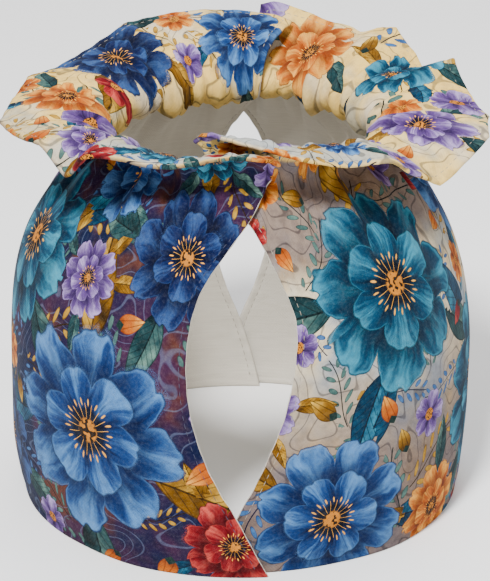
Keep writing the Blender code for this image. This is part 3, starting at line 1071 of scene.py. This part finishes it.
def stitching_tree():
    tree = bpy.data.node_groups.new("stitch_rows", "GeometryNodeTree")
    for label, kind in (
        ("Path", "Geometry"), ("Pitch", "Float"), ("Stitch Length", "Float"),
        ("Stitch Width", "Float"), ("Thread", "Material"),
    ):
        tree.interface.new_socket(label, in_out="INPUT", socket_type="NodeSocket" + kind)
    tree.interface.new_socket("Stitches", in_out="OUTPUT", socket_type="NodeSocketGeometry")
    given = tree.nodes.new("NodeGroupInput").outputs
    path, pitch, length, width, thread = (Field(output) for output in given[:5])
    add = path.node
    curve = add("GeometryNodeMeshToCurve", {"Mesh": path})
    points = add("GeometryNodeResampleCurve", {"Curve": curve, "Length": pitch}, mode="LENGTH")
    ball = {"Segments": STITCH_SIDES, "Rings": STITCH_RINGS, "Radius": 0.5}
    tangent = add("GeometryNodeInputTangent", {})
    shortest, longest = LENGTHS_VARY
    vary = {2: shortest, 3: longest, "Seed": LENGTHS_SEED}
    stitches = add("GeometryNodeInstanceOnPoints", {
        "Points": points,
        "Instance": add("GeometryNodeMeshUVSphere", ball),
        "Rotation": add("FunctionNodeAlignRotationToVector", {"Vector": tangent}, axis="Z"),
        "Scale": vector(width, width, length * add("FunctionNodeRandomValue", vary, output=1)),
    })
    real = add("GeometryNodeRealizeInstances", {0: stitches})
    smooth = add("GeometryNodeSetShadeSmooth", {0: real})
    dressed = add("GeometryNodeSetMaterial", {"Geometry": smooth, "Material": thread})
    put(tree.nodes.new("NodeGroupOutput").inputs[0], dressed)
    return tree


stitch_tree = stitching_tree()


# %% Lay the rows and sew them
PATH_STEP_MM = 1.2
STITCH_LIFT_MM = 0.50
HEM_ROW_MM = 5.0
THREAD_TWISTS = 2600.0
THREAD_TWIST_DEPTH = 0.05 * MM
THREAD_ROUGHNESS = 0.7


def sew(panel, face, thread):
    """Sew round all four edges on one face: 1 is the outside, -1 the inside."""
    left, right = SEAM_MM, PANEL_WIDTH_MM - SEAM_MM
    low, high = HEM_ROW_MM, RIM_UP - SEAM_MM
    points, edges = [], []
    for start, end in (
        ((left, low), (left, high)), ((right, low), (right, high)),
        ((left, low), (right, low)), ((left, high), (right, high)),
    ):
        count = round(math.dist(start, end) / PATH_STEP_MM)
        across, up = (np.linspace(*ends, count) for ends in zip(start, end))
        row = panel_points(panel, across, up, face * STITCH_LIFT_MM)
        first = len(points)
        points.extend(map(tuple, row))
        edges.extend((first + i, first + i + 1) for i in range(len(row) - 1))
    paths = bpy.data.meshes.new(panel.name + "_rows")
    paths.from_pydata(points, edges, [])
    guide = add_object(panel.name + "_rows", paths)
    sewing = guide.modifiers.new("sewing", "NODES")
    sewing.node_group = stitch_tree
    values = {
        "Pitch": STITCH_PITCH, "Stitch Length": STITCH_LENGTH,
        "Stitch Width": STITCH_WIDTH, "Thread": thread,
    }
    for item in stitch_tree.interface.items_tree:
        if item.name in values:
            sewing[item.identifier] = values[item.name]
    piece = finish_as(f"stitching_{panel.side}_{'outside' if face > 0 else 'inside'}", guide)
    points_each = STITCH_SIDES * (STITCH_RINGS - 1) + 2
    print(piece.name, "stitches:", len(piece.data.vertices) // points_each)
    return piece


def thread_material(name, colour):
    material, shader = add_material(name, THREAD_ROUGHNESS)
    place = Field(material.node_tree.nodes.new("ShaderNodeTexCoord").outputs["Object"])
    twist = noise(place, THREAD_TWISTS, 1.0)
    deep = tuple(0.6 * tone for tone in colour)
    put(shader.inputs["Base Color"], mix(twist, (*deep, 1.0), (*colour, 1.0)))
    bump = place.node("ShaderNodeBump", {"Height": twist, "Distance": THREAD_TWIST_DEPTH})
    put(shader.inputs["Normal"], bump)
    shader.inputs["Sheen Weight"].default_value = 0.15
    return material


INDIGO_THREAD = thread_material("indigo_thread", (0.030, 0.032, 0.070))
STONE_THREAD = thread_material("stone_thread", (0.300, 0.265, 0.205))
OUTSIDE_THREADS = {"panel_left": INDIGO_THREAD, "panel_right": STONE_THREAD}
for panel in PANELS:
    rows_sewn = [sew(panel, 1, OUTSIDE_THREADS[panel.name]), sew(panel, -1, STONE_THREAD)]
    for stitching in rows_sewn:
        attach(stitching, "root")

# %% [markdown]
# ## The studio
# Matte cloth shows its form where the light comes from one side of it. The key lamp
# stands high in front, so the collar throws a shadow on the shoulders. A weak lamp
# behind lights the inside of the collar, another fills the right side, and a white
# world and floor do the rest. The camera is the one that the sizes were read through:
# a long lens about a metre away, looking down at the cosy.

# %% Floor and lights
FLOOR_SIZE = 6.0
FLOOR_ROUGHNESS = 0.7
FLOOR_WHITE = (0.900, 0.900, 0.900, 1.0)
WORLD_WHITE = (1.000, 1.000, 1.000, 1.0)
WORLD_STRENGTH = 0.65
COSY_MIDDLE = Vector((0.0, 0.0, 0.08))

# Each lamp's place, the width of its disk and its watts
LAMPS = {
    "key": ((-0.30, -0.95, 1.50), 0.35, 62.0), "fill": ((1.3, -0.5, 0.9), 1.0, 4.0),
    "top": ((0.2, 0.6, 1.6), 0.9, 14.0),
}


def plain_floor():
    mesh = bpy.data.meshes.new("floor")
    shape = bmesh.new()
    bmesh.ops.create_grid(shape, x_segments=1, y_segments=1, size=FLOOR_SIZE / 2)
    shape.to_mesh(mesh)
    shape.free()
    material, shader = add_material("white_table", FLOOR_ROUGHNESS)
    shader.inputs["Base Color"].default_value = FLOOR_WHITE
    mesh.materials.append(material)
    add_object("floor", mesh)


def look(thing, place, aim):
    """Put a lamp or a camera at a place, turned to what it looks at."""
    thing.location = place
    thing.rotation_euler = (aim - Vector(place)).to_track_quat("-Z", "Y").to_euler()


plain_floor()
for name, (place, width, watts) in LAMPS.items():
    lamp = bpy.data.lights.new(name, "AREA")
    lamp.shape, lamp.size, lamp.energy = "DISK", width, watts
    look(add_object(name, lamp), place, COSY_MIDDLE)
world = bpy.data.worlds.new("studio")
world.use_nodes = True
sky = world.node_tree.nodes["Background"]
sky.inputs["Color"].default_value = WORLD_WHITE
sky.inputs["Strength"].default_value = WORLD_STRENGTH
bpy.context.scene.world = world
print("lamps:", *LAMPS)

# %% The camera
PHOTO_WIDTH, PHOTO_HEIGHT = 490, 581
CAMERA_PLACE = Vector((AXIS_X, AXIS_Y - 1.0, 0.5))
CAMERA_AIM = Vector((AXIS_X, AXIS_Y, 0.075))
LENS_MM, SENSOR_MM = 182.9, 36.0
SHIFT_RIGHT_PX = 4.75
lens = bpy.data.cameras.new("photo_view")
lens.sensor_width, lens.lens = SENSOR_MM, LENS_MM
lens.shift_x = SHIFT_RIGHT_PX / max(PHOTO_WIDTH, PHOTO_HEIGHT)
camera = add_object("photo_view", lens)
look(camera, CAMERA_PLACE, CAMERA_AIM)
bpy.context.scene.camera = camera
print("camera", round((CAMERA_AIM - CAMERA_PLACE).length, 3), "m from the cosy")

# %% Finish
bpy.context.view_layer.update()
